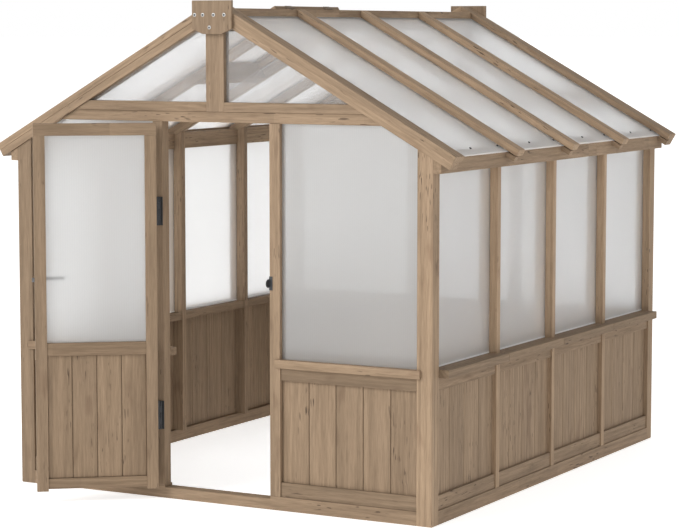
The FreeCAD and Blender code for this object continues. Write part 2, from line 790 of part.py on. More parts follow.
# Lever handle on the outer face: rose on the stile, then neck, bar and spindle
rose_v = (face - S["rose_thickness"], face)
rose_rise = S["rose_height"] / 2 - S["rose_width"] / 2
rose_solid = fuse("rose_solid", [
    box("rose_plate", (lever_u - S["rose_width"] / 2, lever_u + S["rose_width"] / 2), rose_v,
        (S["lever_height"] - rose_rise, S["lever_height"] + rose_rise)),
    rod("rose_top", "y", (lever_u, S["lever_height"] + rose_rise), S["rose_width"] / 2, rose_v),
    rod("rose_foot", "y", (lever_u, S["lever_height"] - rose_rise), S["rose_width"] / 2, rose_v)])
rose_bore = rod("rose_bore", "y", (lever_u, S["lever_height"]), S["spindle_radius"] + S["pin_clearance"],
                (face - S["rose_thickness"] - OVERRUN, face + OVERRUN))
node("lever_rose", [cut("rose_drilled", rose_solid, rose_bore)], hang_door)
neck_end = face - S["rose_thickness"] - S["lever_clearance"]
bar_out = face - S["rose_thickness"] - S["lever_reach"]
bar_v = (bar_out, bar_out + S["lever_bar"])
node("lever_handle", [fuse("lever_solid", [
    rod("lever_neck_rod", "y", (lever_u, S["lever_height"]), S["lever_neck"], (bar_v[0], neck_end)),
    rod("lever_spindle", "y", (lever_u, S["lever_height"]), S["spindle_radius"],
        (bar_v[0], face + S["spindle_depth"])),
    box("lever_bar_stick", (lever_u - S["lever_length"], lever_u), bar_v,
        (S["lever_height"] - S["lever_bar"] / 2, S["lever_height"] + S["lever_bar"] / 2))])], hang_door)

# Strike on the right door post: front flange, lip and inner flange with the bolt hole
strike_x = (door_half - S["strike_plate"], door_half)
strike_z = (S["lever_height"] - S["strike_height"] / 2, S["lever_height"] + S["strike_height"] / 2)
lip_round = S["lip_height"] / 2
lip_centre = -hy - S["lip_reach"] + lip_round
strike_solid = fuse("strike_solid", [
    box("strike_front_flange", (door_half - S["strike_plate"], door_half + S["strike_front"]),
        (-hy - S["strike_plate"], -hy), strike_z),
    box("strike_inner_flange", strike_x, (-hy - S["strike_plate"], S["strike_inner"] - hy), strike_z),
    box("strike_lip", strike_x, (lip_centre, -hy),
        (S["lever_height"] - lip_round, S["lever_height"] + lip_round)),
    rod("strike_lip_round", "x", (lip_centre, S["lever_height"]), lip_round, strike_x)])
hole_x = (door_half - S["strike_plate"] - OVERRUN, door_half + OVERRUN)
bolt_hole = box("strike_bolt_hole", hole_x, mortise_y, mortise_z)
node("strike", [cut("strike_punched", strike_solid, bolt_hole)])

# Surface hinges: five knuckles each, three on the post's plate and two on the door's
KNUCKLES = 5
hinge_clear = S["knuckle_radius"] + S["knuckle_gap"]
# the door's plate passes in front of the post's plate and is packed out to the door's face
strap_back = S["pin_out"] - S["hinge_plate"] - S["knuckle_gap"]
strap_v = (strap_back - S["hinge_plate"], strap_back)
grip_end = leaf_start + S["hinge_grip"]


def knuckle_range(foot, n):
    step = S["hinge_height"] / KNUCKLES
    return foot + step * n + S["knuckle_gap"] / 2, foot + step * (n + 1) - S["knuckle_gap"] / 2


post_halves = []
door_halves = []
for word, middle in (("low", S["hinge_low"]), ("high", S["hinge_high"])):
    foot = middle - S["hinge_height"] / 2
    ends = (foot, foot + S["hinge_height"])
    plate_x = (-door_half - S["hinge_reach"], -door_half)
    solids = [box("post_plate_" + word, plate_x, (-hy - S["hinge_plate"], -hy), ends)]
    solids.append(rod("pin_" + word, "z", (pin_x, pin_y), S["pin_radius"], ends))
    for n in (0, 2, 4):
        zs = knuckle_range(foot, n)
        web_x = (pin_x - S["pin_radius"], pin_x + S["pin_radius"])
        solids.append(box("post_web_%s_%d" % (word, n), web_x, (pin_y, -hy), zs))
        solids.append(rod("post_knuckle_%s_%d" % (word, n), "z", (pin_x, pin_y), S["knuckle_radius"], zs))
    post_halves.append(fuse("hinge_post_" + word, solids))
    packer_u = (leaf_start + S["knuckle_gap"], grip_end)
    solids = [box("door_plate_" + word, (hinge_clear, grip_end), strap_v, ends),
              box("door_packer_" + word, packer_u, (strap_v[0], S["pin_out"]), ends)]
    for n in (1, 3):
        zs = knuckle_range(foot, n)
        solids.append(box("door_tab_%s_%d" % (word, n), (0, hinge_clear), strap_v, zs))
        solids.append(rod("door_knuckle_%s_%d" % (word, n), "z", (0, 0), S["knuckle_radius"], zs))
    bore = rod("bore_" + word, "z", (0, 0), S["pin_radius"] + S["pin_clearance"], ends)
    door_halves.append(cut("hinge_door_" + word, fuse("hinge_door_solid_" + word, solids), bore))
node("hinge_leaves_post", post_halves)
node("hinge_leaves_door", door_halves, hang_door)

# Roof vent sash lying on the caps of its bay, hung from the ridge
vent_low = -S["vent_seat"]
vent_high = -S["vent_seat"] - S["vent_thickness"]
vent_y = (stations[0], stations[1])


def slope_box(name, along, down, ys):
    corners = [on_slope(along[0], down[0]), on_slope(along[1], down[0]),
               on_slope(along[1], down[1]), on_slope(along[0], down[1])]
    return prism(name, [("XZ", mirrored(corners, -1), *ys)])


member = S["vent_member"]
sash_v = (vent_high, vent_low)
inner_along = (S["vent_start"] + member, vent_end - member)
node("vent_sash", [
    slope_box("vent_top_rail", (S["vent_start"], S["vent_start"] + member), sash_v, vent_y),
    slope_box("vent_bottom_rail", (vent_end - member, vent_end), sash_v, vent_y),
    slope_box("vent_stile_front", inner_along, sash_v, (vent_y[0], vent_y[0] + member)),
    slope_box("vent_stile_rear", inner_along, sash_v, (vent_y[1] - member, vent_y[1]))])
vent_pane_top = vent_high + S["vent_pane_drop"]
vent_pane_v = (vent_pane_top, vent_pane_top + S["pane_thickness"])
vent_pane_y = (vent_y[0] + member, vent_y[1] - member)
node("vent_pane", [slope_box("vent_pane_sheet", inner_along, vent_pane_v, vent_pane_y)])

# Vent hinges: leaf and outer knuckles on the ridge, middle knuckle on the sash
vent_x = -S["ridge_half"] - S["vent_pin_out"]
vent_z = ridge_top + S["vent_pin_rise"]
vent_mid = (stations[0] + stations[1]) / 2
third = S["vent_hinge_width"] / 3
pin_down = (apex - vent_z + slope * vent_x) * cosine
pin_along = (-vent_x + pin_down * sine) / cosine
ridge_leaves = []
sash_leaves = []
for word, way in (("front", -1), ("rear", 1)):
    middle = vent_mid + S["vent_hinge_offset"] * way
    start = middle - S["vent_hinge_width"] / 2
    whole = (start, start + S["vent_hinge_width"])
    solids = [rod("vent_pin_" + word, "y", (vent_x, vent_z), S["vent_pin_radius"], whole)]
    leaf_x = (-S["ridge_half"] + S["vent_leaf"], -S["ridge_half"] + S["vent_leaf_reach"])
    solids.append(box("vent_leaf_" + word, leaf_x, whole, (ridge_top, ridge_top + S["vent_leaf"])))
    for count in (0, 2):
        ys = (start + third * count + S["knuckle_gap"] * (count / 2),
              start + third * (count + 1) - S["knuckle_gap"] * (1 - count / 2))
        tag = "%s_%d" % (word, count)
        solids.append(rod("vent_knuckle_" + tag, "y", (vent_x, vent_z), S["vent_knuckle"], ys))
        tab_x = (vent_x, -S["ridge_half"] + S["vent_leaf"])
        tab_z = (vent_z - S["vent_leaf"] * 2, vent_z - S["vent_leaf"])
        solids.append(box("vent_tab_" + tag, tab_x, ys, tab_z))
        step_x = (-S["ridge_half"] + S["vent_leaf"] / 2, -S["ridge_half"] + S["vent_leaf"] * 2)
        solids.append(box("vent_step_" + tag, step_x, ys, (ridge_top, vent_z - S["vent_leaf"])))
    ridge_leaves.append(fuse("vent_ridge_hinge_" + word, solids))
    ys = (start + third + S["knuckle_gap"], start + third * 2 - S["knuckle_gap"])
    leaf = slope_box("vent_sash_leaf_" + word, (S["vent_start"] - S["vent_leaf"], S["vent_start"]),
                     (vent_high, vent_low), whole)
    tab_along = (pin_along + S["vent_pin_radius"] + S["tab_start"], S["vent_start"] - S["vent_leaf"])
    tab_v = (pin_down - S["vent_leaf"] / 2, pin_down + S["vent_leaf"] / 2)
    tab = slope_box("vent_sash_tab_" + word, tab_along, tab_v, ys)
    barrel = rod("vent_barrel_" + word, "y", (vent_x, vent_z), S["vent_knuckle"], ys)
    bore_radius = S["vent_pin_radius"] + S["pin_clearance"]
    bore = rod("vent_bore_" + word, "y", (vent_x, vent_z), bore_radius, ys)
    sash = fuse("vent_sash_solid_" + word, [leaf, tab, barrel])
    sash_leaves.append(cut("vent_sash_hinge_" + word, sash, bore))
node("vent_hinge_ridge", ridge_leaves)
node("vent_hinge_sash", sash_leaves)

# Screws that hold the roof sheets down on the eave beams, two per bay and side
ROOF_SCREW_SHARES = (0.46, 0.93)
roof_screws = []
for word, side in SIDES:
    x = eave_out - S["roof_screw_inset"]
    z = level(sheet_top, x)
    for n in range(BAYS):
        for part, share in enumerate(ROOF_SCREW_SHARES):
            y = bay_low[n] + clear * share
            head = rod("roof_screw_%s_%d_%d" % (word, n, part), "z", (x * side, y),
                       S["roof_screw_radius"], (z, z + S["roof_screw_height"]))
            # each head stands square to the slope
            head.Placement = FreeCAD.Placement(V(), FreeCAD.Rotation(V(0, 1, 0), side))
            head.setExpression("Placement.Rotation.Angle", "Sheet.pitch * %d * 1deg" % side)
            roof_screws.append(head)
node("roof_screws", roof_screws)

doc.recompute()
for thing in doc.Objects:
    if "Invalid" in thing.State or "Error" in thing.State:
        raise RuntimeError("failed object: " + thing.Name)
for name, group in nodes.items():
    if group.Shape.isNull() or not group.Shape.isValid():
        raise RuntimeError("bad shape: " + name)

os.makedirs("parts", exist_ok=True)
for name, group in nodes.items():
    group.Shape.exportStep("parts/%s.step" % name)
print(len(nodes), "nodes")
print("apex", round(apex.value, 1), "ridge top", round(ridge_top.value, 1))
print("pin", round(pin_x.value, 2), round(pin_y.value, 2))
print("vent pin", round(vent_x.value, 2), round(vent_z.value, 2), "down", round(pin_down.value, 2),
      "along", round(pin_along.value, 2))
for name, group in nodes.items():
    box_now = group.Shape.BoundBox
    print(name, len(group.Shape.Solids), "%.0f %.0f %.0f  %.0f %.0f %.0f" % (
        box_now.XMin, box_now.YMin, box_now.ZMin, box_now.XMax, box_now.YMax, box_now.ZMax))
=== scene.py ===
# %% [markdown]
# # A timber greenhouse, dressed for its portrait
# The greenhouse is a small house of squared, weathered timber with milky plastic panes.
# Its structure comes in finished from the workshop drawing, in metres, and stands on the origin.
# This lesson gives each timber eased edges and its own grain, then the panes, metal, light and camera.

# %% Bring in the structure
import json
import math
import random

import bmesh
import bpy
from mathutils import Matrix, Vector

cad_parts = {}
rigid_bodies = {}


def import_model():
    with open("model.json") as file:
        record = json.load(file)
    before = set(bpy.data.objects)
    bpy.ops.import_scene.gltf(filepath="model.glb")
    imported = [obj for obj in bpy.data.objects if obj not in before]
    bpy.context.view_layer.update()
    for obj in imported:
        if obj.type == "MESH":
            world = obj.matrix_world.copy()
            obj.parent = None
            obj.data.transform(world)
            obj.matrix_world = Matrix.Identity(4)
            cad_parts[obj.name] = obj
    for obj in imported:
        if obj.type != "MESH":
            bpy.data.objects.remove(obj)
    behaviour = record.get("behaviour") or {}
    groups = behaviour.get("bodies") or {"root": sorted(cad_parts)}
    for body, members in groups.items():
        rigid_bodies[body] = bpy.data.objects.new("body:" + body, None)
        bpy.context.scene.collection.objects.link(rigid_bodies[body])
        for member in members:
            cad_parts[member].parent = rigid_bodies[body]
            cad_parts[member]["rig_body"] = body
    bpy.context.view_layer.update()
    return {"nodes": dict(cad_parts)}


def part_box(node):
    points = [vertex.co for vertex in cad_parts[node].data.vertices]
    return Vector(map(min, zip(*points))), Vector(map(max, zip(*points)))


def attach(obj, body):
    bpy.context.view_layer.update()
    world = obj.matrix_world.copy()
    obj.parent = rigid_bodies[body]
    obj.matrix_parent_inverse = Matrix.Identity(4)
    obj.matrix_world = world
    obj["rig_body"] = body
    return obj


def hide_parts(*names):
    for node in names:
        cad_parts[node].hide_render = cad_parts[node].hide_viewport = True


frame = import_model()

# %% [markdown]
# ## Wiring a material
# A finish is a small network: boxes that make noise, waves and colours, with wires that end in one shader.
# It could be wired by hand in the editor, but a script can be read and changed later.
# The same few steps come back in every finish, so they are written once here.

# %% Start a finish


def new_finish(name):
    """An empty node material with one Principled shader, and ways to add and join nodes."""
    finish = bpy.data.materials.new(name)
    finish.use_nodes = True
    tree = finish.node_tree
    shader = tree.nodes["Principled BSDF"]

    def add(kind, inputs=None, **settings):
        made = tree.nodes.new(kind)
        for key, value in settings.items():
            setattr(made, key, value)
        for key, value in (inputs or {}).items():
            if isinstance(value, bpy.types.NodeSocket):
                tree.links.new(value, made.inputs[key])
            else:
                made.inputs[key].default_value = value
        return made

    def link(source, target):
        tree.links.new(source, target)

    return finish, shader, add, link


print("finish starter ready")

# %% Ramps, blends and greys
MIX_SHARE = 0
MIX_FIRST = 6
MIX_SECOND = 7
MIX_RESULT = 2


def stepped(add, source, stops):
    """A colour ramp from (place, colour) stops."""
    ramp = add("ShaderNodeValToRGB", {"Fac": source})
    band = ramp.color_ramp
    while len(band.elements) < len(stops):
        band.elements.new(0.5)
    for element, (place, colour) in zip(band.elements, stops):
        element.position = place
        element.color = (*colour, 1.0)
    return ramp.outputs["Color"]


def blended(add, how, share, first, second):
    """Two colours mixed with one of the usual blend modes."""
    mix = add("ShaderNodeMix", {MIX_SHARE: share, MIX_FIRST: first, MIX_SECOND: second},
              data_type="RGBA", blend_type=how, clamp_result=True)
    return mix.outputs[MIX_RESULT]


def grey(value):
    """A colour with no hue."""
    return (value, value, value)


print("ramps and blends ready")

# %% [markdown]
# ## The weathered timber
# The real frame is planed softwood with a light grey-brown stain, so the grain is quiet: soft streaks,
# fine fibres, here and there an arched ring, and a few dark checks where the wood has dried.
# A picture of wood could be wrapped round a beam, but its end grain and corners would never agree.
# So the wood is drawn in three dimensions: every timber carries its own coordinates, with the first axis
# along the grain, and the material is carved out of that block like a real beam out of its log.

# %% Wood colours and stretched noise
WOOD_DARK = (0.262, 0.183, 0.116)
WOOD_MID = (0.316, 0.222, 0.142)
WOOD_PALE = (0.360, 0.255, 0.165)


def stretched_noise(add, grain, along, across, detail, roughness=0.5):
    """Noise with so many waves a metre along the grain, and so many across it."""
    pulled = add("ShaderNodeVectorMath", {0: grain, 1: (along, across, across)}, operation="MULTIPLY")
    made = add("ShaderNodeTexNoise", {
        "Vector": pulled.outputs[0], "Scale": 1.0, "Detail": detail, "Roughness": roughness})
    return made.outputs["Fac"]


def figured(add, operation, first, second):
    """Two numbers worked into one."""
    return add("ShaderNodeMath", {0: first, 1: second}, operation=operation).outputs[0]


print("wood colours from", WOOD_DARK, "to", WOOD_PALE)

# %% [markdown]
# A log's rings are tubes round its middle. Cut lengthwise they show as long lines, which arch where the
# tubes sway. A wave texture makes the tubes, its own wobble is pulled long, and noise makes them sway.
# Only some stretches of the wood show the rings; the others are evenly streaked.

# %% Growth rings
RING_SCALE = 17.0
RING_STRETCH = 0.06
RING_SWAY = 0.05


def growth_rings(add, grain):
    """Arched rings in some stretches of the wood, and even streaks in the others."""
    sway = figured(add, "MULTIPLY", stretched_noise(add, grain, 1.3, 7, 2), RING_SWAY)
    log = add("ShaderNodeVectorMath", {0: grain, 1: (RING_STRETCH, 1, 1)}, operation="MULTIPLY").outputs[0]
    bend = add("ShaderNodeCombineXYZ", {"X": 0.0, "Y": sway, "Z": sway}).outputs[0]
    bent = add("ShaderNodeVectorMath", {0: log, 1: bend}, operation="ADD").outputs[0]
    rings = add("ShaderNodeTexWave", {
        "Vector": bent, "Scale": RING_SCALE, "Distortion": 1.2, "Detail": 2.0, "Detail Scale": 1.3},
        wave_type="RINGS", rings_direction="X", wave_profile="SIN").outputs["Fac"]
    arched = stepped(add, rings, [(0.0, WOOD_DARK), (0.35, WOOD_MID), (1.0, WOOD_PALE)])
    streaks = stretched_noise(add, grain, 0.8, 26, 3)
    even = stepped(add, streaks, [(0.3, WOOD_DARK), (0.5, WOOD_MID), (0.72, WOOD_PALE)])
    stretches = stretched_noise(add, grain, 0.5, 4, 1)
    ringed = stepped(add, stretches, [(0.42, grey(0.12)), (0.62, grey(0.62))])
    return blended(add, "MIX", ringed, even, arched)


print("rings at scale", RING_SCALE)

# %% [markdown]
# Streaks, fibres, clouds and stains are all the same trick: noise pulled long, which darkens the wood a
# little where it is low. Each row gives the noise, where the darkening starts and ends, and its tint.

# %% Faint marks
FAINT_MARKS = {
    "streaks": ((4.5, 80, 4), (0.32, 0.62), (0.82, 0.81, 0.80)),
    "fibres": ((15, 330, 4, 0.6), (0.30, 0.60), (0.78, 0.77, 0.76)),
    "clouds": ((2.4, 5, 2), (0.30, 0.62), (0.93, 0.93, 0.94)),
    "stains": ((4, 12, 2), (0.28, 0.36), (0.84, 0.81, 0.80)),
}


def faint_marks(add, grain, colour):
    """The colour darkened by each kind of mark, and the fibres, which the hand feels too."""
    noises = {}
    for mark, (waves, (low, high), tint) in FAINT_MARKS.items():
        noises[mark] = stretched_noise(add, grain, *waves)
        faint = stepped(add, noises[mark], [(low, tint), (high, grey(1.0))])
        colour = blended(add, "MULTIPLY", 1.0, colour, faint)
    return colour, noises["fibres"]


print("faint marks:", ", ".join(FAINT_MARKS))

# %% [markdown]
# No two trees have the same tone, so every piece gets its own; for some groups the same number also carries
# painted light and shade.
# Long rails of this kind are glued up from shorter lengths, which differ a little too.

# %% Tone of each piece, with painted light and shade
LENGTHS_PER_METRE = 2.3
LENGTH_DARKEST = (0.84, 0.83, 0.82)
LENGTH_PALEST = grey(1.04)


def piece_tone_and_painted_light(add, grain, colour):
    """The colour scaled by the piece's own tint and by painted light and shade where its group has them,
    with glued lengths that differ along it.
    """
    # This attribute holds each piece's tint times its group's painted light and shade.
    tone = add("ShaderNodeAttribute", attribute_name="tone").outputs["Fac"]
    glued = add("ShaderNodeAttribute", attribute_name="glued").outputs["Fac"]
    toned = add("ShaderNodeVectorMath", {0: colour, "Scale": tone}, operation="SCALE").outputs[0]
    along = add("ShaderNodeSeparateXYZ", {0: grain}).outputs["X"]
    length = figured(add, "FLOOR", figured(add, "MULTIPLY", along, LENGTHS_PER_METRE), 0.0)
    dealt = add("ShaderNodeTexWhiteNoise", {"W": figured(add, "ADD", length, tone)}, noise_dimensions="1D")
    lengths = stepped(add, dealt.outputs["Value"], [(0.0, LENGTH_DARKEST), (1.0, LENGTH_PALEST)])
    return blended(add, "MULTIPLY", glued, toned, lengths)


print("glued lengths of", round(1 / LENGTHS_PER_METRE, 3), "m")

# %% [markdown]
# Checks are short cracks from drying. They are the peaks of a noise, kept only where a second noise allows
# them, so they stay rare and come in small groups. The finish then puts all the layers together.

# %% Timber finish
CHECK_COLOUR = (0.085, 0.055, 0.036, 1.0)


def dark_checks(add, grain):
    """Where a drying crack shows."""
    places = stretched_noise(add, grain, 2.2, 11, 1)
    allowed = stepped(add, places, [(0.54, grey(0.0)), (0.63, grey(1.0))])
    peaks = stretched_noise(add, grain, 21, 170, 0)
    kept = stepped(add, peaks, [(0.705, grey(0.0)), (0.76, grey(1.0))])
    return blended(add, "MULTIPLY", 1.0, allowed, kept)


def timber_finish(name):
    """Weathered softwood, layer on layer."""
    finish, shader, add, link = new_finish(name)
    grain = add("ShaderNodeAttribute", attribute_name="grain").outputs["Vector"]
    colour, fibres = faint_marks(add, grain, growth_rings(add, grain))
    check = dark_checks(add, grain)
    colour = blended(add, "MIX", check, piece_tone_and_painted_light(add, grain, colour), CHECK_COLOUR)
    link(colour, shader.inputs["Base Color"])
    rough = add("ShaderNodeMapRange", {"Value": fibres, "To Min": 0.82, "To Max": 0.62}).outputs[0]
    link(rough, shader.inputs["Roughness"])
    relief = figured(add, "SUBTRACT", fibres, check)
    bump = add("ShaderNodeBump", {"Height": relief, "Strength": 0.2, "Distance": 0.001})
    link(bump.outputs[0], shader.inputs["Normal"])
    shader.inputs["Specular IOR Level"].default_value = 0.25
    return finish


timber = timber_finish("weathered_timber")
print("finish:", timber.name, len(timber.node_tree.nodes), "nodes")

# %% [markdown]
# ## The milky panes
# Walls and roof are closed with ribbed plastic sheet: two thin skins with webs between them.
# It scatters the light it lets through, so what stands behind shows only as a soft shade.
# The shader splits the light three ways: some is thrown back, most goes through blurred, a little straight.
# The webs are a fine wave across the sheet, which also ripples the surface a hair.

# %% Pane finishes
RIB_SCALE = 31.0
HAZE_SCALE = 2.2
HAZE_SHADE = 0.97
SHEET_BENDING = 1.16


def pane_finish(name, hiding, passing, rough, colour, web_shade=0.95):
    """Ribbed sheet that hides a share of what is behind it and passes a share of the light."""
    finish, shader, add, link = new_finish(name)
    grain = add("ShaderNodeAttribute", attribute_name="grain").outputs["Vector"]
    ribs = add("ShaderNodeTexWave", {"Vector": grain, "Scale": RIB_SCALE, "Distortion": 0.0, "Detail": 0.0},
               wave_type="BANDS", bands_direction="Y").outputs["Fac"]
    haze = add("ShaderNodeTexNoise", {"Vector": grain, "Scale": HAZE_SCALE, "Detail": 3.0}).outputs["Fac"]
    base = stepped(add, haze, [(0.25, tuple(HAZE_SHADE * c for c in colour)), (0.75, colour)])
    web = stepped(add, ribs, [(0.0, grey(web_shade)), (0.3, grey(1.0))])
    link(blended(add, "MULTIPLY", 1.0, base, web), shader.inputs["Base Color"])
    bump = add("ShaderNodeBump", {"Height": ribs, "Strength": 0.1, "Distance": 0.0008})
    link(bump.outputs[0], shader.inputs["Normal"])
    shader.inputs["Roughness"].default_value = rough
    shader.inputs["IOR"].default_value = SHEET_BENDING
    shader.inputs["Transmission Weight"].default_value = passing
    shader.inputs["Alpha"].default_value = hiding
    return finish


milky = pane_finish("milky_ribbed_sheet", hiding=0.64, passing=0.72, rough=0.85,
                    colour=(0.84, 0.84, 0.837))
# The copies below are the same sheet made greyer as painted shade, whiter as painted light, and clearer and
# darker with the darker colour as painted shade.
painted_shade_sheet = pane_finish("painted_shade_ribbed_sheet", hiding=0.70, passing=0.68, rough=0.85,
                     colour=(0.685, 0.684, 0.68))
painted_light_sheet = pane_finish("painted_light_ribbed_sheet", hiding=0.70, passing=0.66, rough=0.85,
                       colour=(0.95, 0.95, 0.948))
clearer_painted_shade_sheet = pane_finish("clear_painted_shade_ribbed_sheet", hiding=0.34, passing=0.45, rough=0.12,
                      colour=(0.57, 0.575, 0.58), web_shade=0.80)
print("finishes:", milky.name, painted_shade_sheet.name, painted_light_sheet.name, clearer_painted_shade_sheet.name)

# %% [markdown]
# ## Metal
# The door hinges and strike are black coated steel, the lever is brushed grey, the screws are zinc plated.
# The vent's hinges are coated brown, because nothing dark shows along the ridge.
# A faint unevenness in roughness is what makes coated metal look handled and not freshly drawn.
# A screw head is a bright ring round a dark drive socket. Its finish paints the shade in the socket as a
# dark spot, by the distance from the middle of the head.

# %% Metal finishes
MOTTLE_SHADE = 0.72
# The socket's darkness is painted shade.
SOCKET_PAINTED_SHADE = 0.06
SOCKET_RIM = 0.82


def metal_finish(name, colour, metallic, rough, mottle, socket=0.0):
    """Mottled metal, with the shade of a drive socket of some radius painted dark where it is a screw's."""
    finish, shader, add, link = new_finish(name)
    grain = add("ShaderNodeAttribute", attribute_name="grain").outputs["Vector"]
    patches = add("ShaderNodeTexNoise", {"Vector": grain, "Scale": mottle, "Detail": 4.0}).outputs["Fac"]
    shade = stepped(add, patches, [(0.3, tuple(MOTTLE_SHADE * c for c in colour)), (0.7, colour)])
    if socket:
        flat = add("ShaderNodeVectorMath", {0: grain, 1: (1, 1, 0)}, operation="MULTIPLY").outputs[0]
        reach = add("ShaderNodeVectorMath", {0: flat}, operation="LENGTH").outputs["Value"]
        share = figured(add, "MULTIPLY", reach, 1.0 / socket)
        painted_socket_shade = stepped(add, share, [(SOCKET_RIM, grey(SOCKET_PAINTED_SHADE)), (1.0, grey(1.0))])
        shade = blended(add, "MULTIPLY", 1.0, shade, painted_socket_shade)
    link(shade, shader.inputs["Base Color"])
    smoothest, roughest = rough
    gloss = add("ShaderNodeMapRange", {"Value": patches, "To Min": smoothest, "To Max": roughest})
    link(gloss.outputs[0], shader.inputs["Roughness"])
    bump = add("ShaderNodeBump", {"Height": patches, "Strength": 0.08, "Distance": 0.0004})
    link(bump.outputs[0], shader.inputs["Normal"])
    shader.inputs["Metallic"].default_value = metallic
    return finish


black_steel = metal_finish("black_coated_steel", (0.040, 0.041, 0.044), metallic=0.2, rough=(0.4, 0.6),
                           mottle=160.0)
hinge_screw_steel = metal_finish("black_screw_steel", (0.075, 0.077, 0.08), metallic=0.5, rough=(0.3, 0.5),
                                 mottle=160.0, socket=0.0024)
grey_steel = metal_finish("brushed_grey_steel", (0.17, 0.17, 0.175), metallic=0.8, rough=(0.35, 0.5),
                          mottle=90.0)
brown_steel = metal_finish("brown_coated_steel", (0.20, 0.14, 0.09), metallic=0.2, rough=(0.45, 0.65),
                           mottle=160.0)
zinc = metal_finish("zinc_plate", (0.62, 0.62, 0.61), metallic=0.5, rough=(0.35, 0.5),
                    mottle=220.0, socket=0.0055)
print("finishes:", black_steel.name, hinge_screw_steel.name, grey_steel.name, brown_steel.name, zinc.name)

# %% [markdown]
# ## From a group to its single pieces
# The drawing keeps like pieces in one group, and its surfaces come as triangles.
# A solid's triangles follow one another, so a piece is complete when every edge has met its partner.
# Its flat faces are then made whole again, so that only real corners are left to be eased.

# %% Find the single pieces
FLAT_WITHIN = math.radians(1)
SPOT_DIGITS = 6


def solids_of(node):
    """The group's solids, one list of triangles each. A solid is complete when no edge is left open."""
    data = frame["nodes"][node].data
    spots = [tuple(round(c, SPOT_DIGITS) for c in vertex.co) for vertex in data.vertices]
    solids = []
    triangles = []
    open_edges = set()
    for polygon in data.polygons:
        corners = [spots[index] for index in polygon.vertices]
        triangles.append(corners)
        for first, second in zip(corners, corners[1:] + corners[:1]):
            if (second, first) in open_edges:
                open_edges.remove((second, first))
            else:
                open_edges.add((first, second))
        if not open_edges:
            solids.append(triangles)
            triangles = []
    if triangles:
        solids.append(triangles)
    return solids


def add_solid(mesh, triangles):
    """One solid added to an empty mesh, with its flat faces whole again."""
    corners = {}
    for triangle in triangles:
        for spot in triangle:
            if spot not in corners:
                corners[spot] = mesh.verts.new(spot)
        if len(set(triangle)) == 3:
            mesh.faces.new([corners[spot] for spot in triangle])
    mesh.normal_update()
    bmesh.ops.dissolve_limit(mesh, angle_limit=FLAT_WITHIN, verts=mesh.verts[:], edges=mesh.edges[:])
    mesh.normal_update()


print("solids in all groups:", sum(len(solids_of(node)) for node in frame["nodes"]))

# %% [markdown]
# ## Easing and grain
# A planed timber never has a razor edge: a pass of sandpaper eases every corner by a millimetre or two.
# The longest edge of a piece tells which way its grain runs, and its widest face which way goes through it.
# That fills the coordinates that the wood is carved from.

# %% Ease a piece and mark its grain
CORNER_ABOVE = math.radians(20)
ASIDE_WITHIN = 0.3


def eased_piece(triangles, ease, rounds):
    """One solid with its corners eased."""
    piece = bmesh.new()
    add_solid(piece, triangles)
    if ease:
        corners = [edge for edge in piece.edges
                   if len(edge.link_faces) == 2 and edge.calc_face_angle() > CORNER_ABOVE]
        bmesh.ops.bevel(piece, geom=corners, offset=ease, offset_type="OFFSET", segments=rounds,
                        profile=0.5, affect="EDGES", clamp_overlap=True)
    piece.normal_update()
    return piece


def grain_axes(faces, given):
    """The grain direction of a piece, and two directions across it. Of equal edges the first one counts."""
    along = given
    if along is None:
        edges = [edge for face in faces for edge in face.edges]
        longest = max(edges, key=lambda edge: (round(edge.calc_length(), 4), edge.verts[0].co.z))
        along = (longest.verts[1].co - longest.verts[0].co).normalized()
    aside = [face for face in faces if abs(face.normal.dot(along)) < ASIDE_WITHIN]
    widest = max(aside, key=lambda face: round(face.calc_area(), 7))
    through = (widest.normal - along * widest.normal.dot(along)).normalized()
    return along, through.cross(along), through


def mark_piece(piece, given, start, own_shade, lengths):
    """Grain coordinates from a starting spot, and the piece's own tint with any painted light and shade, on
    each of its corners.
    """
    along, across, through = grain_axes(piece.faces, given)
    middle = sum((vertex.co for vertex in piece.verts), Vector()) / len(piece.verts)
    grain = piece.verts.layers.float_vector.new("grain")
    tone = piece.verts.layers.float.new("tone")
    glued = piece.verts.layers.float.new("glued")
    for vertex in piece.verts:
        here = vertex.co - middle
        vertex[grain] = start + Vector((here.dot(along), here.dot(across), here.dot(through)))
        vertex[tone] = own_shade
        vertex[glued] = lengths


print("piece helpers ready")

# %% [markdown]
# ## The dressing helper
# Wood starts at a random spot of its log, so no two beams match. Panes and metal start at their own middle,
# so ribs and screw sockets stay centred. The dressed copy takes the group's place and rides on its body.

# %% Dress a group
dice = random.Random(1959)
LOG_SPOTS = ((0, 40), (-0.2, 0.2), (0.02, 0.14))
TONE_SPREAD = 0.055
TIMBER_EASE = 0.0016
SMOOTH_BELOW = math.radians(28)


def new_object(name, mesh, finish):
    """An object in the scene from a mesh, which is used up."""
    data = bpy.data.meshes.new(name)
    mesh.to_mesh(data)
    mesh.free()
    data.materials.append(finish)
    made = bpy.data.objects.new(name, data)
    bpy.context.scene.collection.objects.link(made)
    return made


